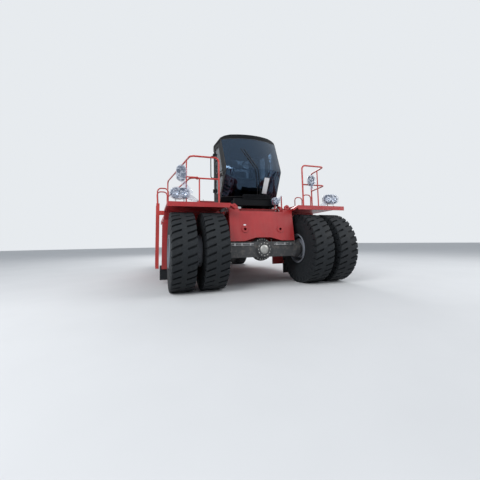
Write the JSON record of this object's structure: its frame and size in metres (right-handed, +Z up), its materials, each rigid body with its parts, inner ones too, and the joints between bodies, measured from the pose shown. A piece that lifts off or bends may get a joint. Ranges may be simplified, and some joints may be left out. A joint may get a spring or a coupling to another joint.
{
  "type": "container reach stacker chassis with cab, boom not fitted",
  "caption": "Red container reach stacker with a black sliding cab, twin front tyres and steered rear tyres, shown before its boom is fitted.",
  "frame": {"origin": "the ground under the middle of the machine's box", "axes": "+X forward, +Y to the machine's left, +Z up"},
  "size_m": [8.23, 4.56, 3.72],
  "materials": {
    "red_paint": "satin",
    "black_paint": "gloss",
    "grey_casting": "matte",
    "tyre_rubber": "matte",
    "flap_rubber": "matte",
    "rim_paint": "satin",
    "bright_steel": "satin",
    "cylinder_chrome": "polished",
    "window_glass": "polished",
    "lamp_lens": "polished",
    "dark_plastic": "matte",
    "seat_cloth": "matte"
  },
  "bodies": {
    "chassis": {"main_frame": "red_paint", "rear_frame": "red_paint", "lift_cheeks": "red_paint", "side_brackets": "red_paint", "front_plate": "red_paint", "boom_tower": "red_paint", "drive_axle": "grey_casting", "drive_shaft": "grey_casting", "steer_axle": "grey_casting", "fenders": "red_paint", "mud_flaps": "flap_rubber", "side_decks": "red_paint", "railings": "red_paint", "ladders": "red_paint", "lamps": "lamp_lens", "mirrors": "dark_plastic", "slide_rails": "bright_steel", "engine_hood": "red_paint", "engine": "grey_casting", "radiator_grille": "dark_plastic", "exhaust": "bright_steel", "air_cleaner": "black_paint", "fuel_tank": "red_paint", "hydraulic_tank": "red_paint", "counterweight": "red_paint"},
    "steering_ram": {"steer_ram": "cylinder_chrome"},
    "left_knuckle": {"knuckle_left": "grey_casting"},
    "right_knuckle": {"knuckle_right": "grey_casting"},
    "left_front_wheels": {"front_tyres_left": "tyre_rubber", "front_rims_left": "rim_paint"},
    "right_front_wheels": {"front_tyres_right": "tyre_rubber", "front_rims_right": "rim_paint"},
    "left_rear_wheel": {"rear_tyre_left": "tyre_rubber", "rear_rim_left": "rim_paint"},
    "right_rear_wheel": {"rear_tyre_right": "tyre_rubber", "rear_rim_right": "rim_paint"},
    "cab": {"cab_carriage": "black_paint", "cab_shell": "black_paint", "cab_roof": "black_paint", "windscreen": "window_glass", "cab_windows": "window_glass", "seat": "seat_cloth", "driving_console": "dark_plastic", "wipers": "dark_plastic"},
    "left_cab_door": {"cab_door_left": "black_paint", "door_glass_left": "window_glass"},
    "right_cab_door": {"cab_door_right": "black_paint", "door_glass_right": "window_glass"},
    "left_hood_door": {"hood_door_left": "red_paint"},
    "right_hood_door": {"hood_door_right": "red_paint"}
  },
  "joints": [
    {"name": "front_spin_left", "type": "hinge", "parent": "chassis", "child": "left_front_wheels", "pos_m": [3.305, 1.49, 0.81], "axis": [0, 1, 0], "continuous": true},
    {"name": "front_spin_right", "type": "hinge", "parent": "chassis", "child": "right_front_wheels", "pos_m": [3.305, -1.49, 0.81], "axis": [0, 1, 0], "continuous": true},
    {"name": "steer_left", "type": "hinge", "parent": "chassis", "child": "left_knuckle", "pos_m": [-2.695, 1.13, 0.81], "axis": [0, 0, 1], "range_deg": [-48, 48]},
    {"name": "steer_right", "type": "hinge", "parent": "chassis", "child": "right_knuckle", "pos_m": [-2.695, -1.13, 0.81], "axis": [0, 0, 1], "range_deg": [-48, 48]},
    {"name": "rear_spin_left", "type": "hinge", "parent": "left_knuckle", "child": "left_rear_wheel", "pos_m": [-2.695, 1.38, 0.81], "axis": [0, 1, 0], "continuous": true},
    {"name": "rear_spin_right", "type": "hinge", "parent": "right_knuckle", "child": "right_rear_wheel", "pos_m": [-2.695, -1.38, 0.81], "axis": [0, 1, 0], "continuous": true},
    {"name": "steer_ram_slide", "type": "slide", "parent": "chassis", "child": "steering_ram", "axis": [0, 1, 0], "range_m": [-0.21, 0.21]},
    {"name": "cab_slide", "type": "slide", "parent": "chassis", "child": "cab", "axis": [-1, 0, 0], "range_m": [0, 1.2]},
    {"name": "cab_door_left_hinge", "type": "hinge", "parent": "cab", "child": "left_cab_door", "pos_m": [2.125, 0.822, 2.84], "axis": [0, 0, 1], "range_deg": [0, 85]},
    {"name": "cab_door_right_hinge", "type": "hinge", "parent": "cab", "child": "right_cab_door", "pos_m": [2.125, -0.822, 2.84], "axis": [0, 0, -1], "range_deg": [0, 85]},
    {"name": "hood_door_left_hinge", "type": "hinge", "parent": "chassis", "child": "left_hood_door", "pos_m": [-0.945, 0.866, 2.4], "axis": [1, 0, 0], "range_deg": [0, 80]},
    {"name": "hood_door_right_hinge", "type": "hinge", "parent": "chassis", "child": "right_hood_door", "pos_m": [-0.945, -0.866, 2.4], "axis": [-1, 0, 0], "range_deg": [0, 80]}
  ],
  "couplings": [
    {"joint": "steer_right", "follows": "steer_left", "ratio": 1},
    {"joint": "steer_ram_slide", "follows": "steer_left", "m_per_rad": -0.25}
  ]
}
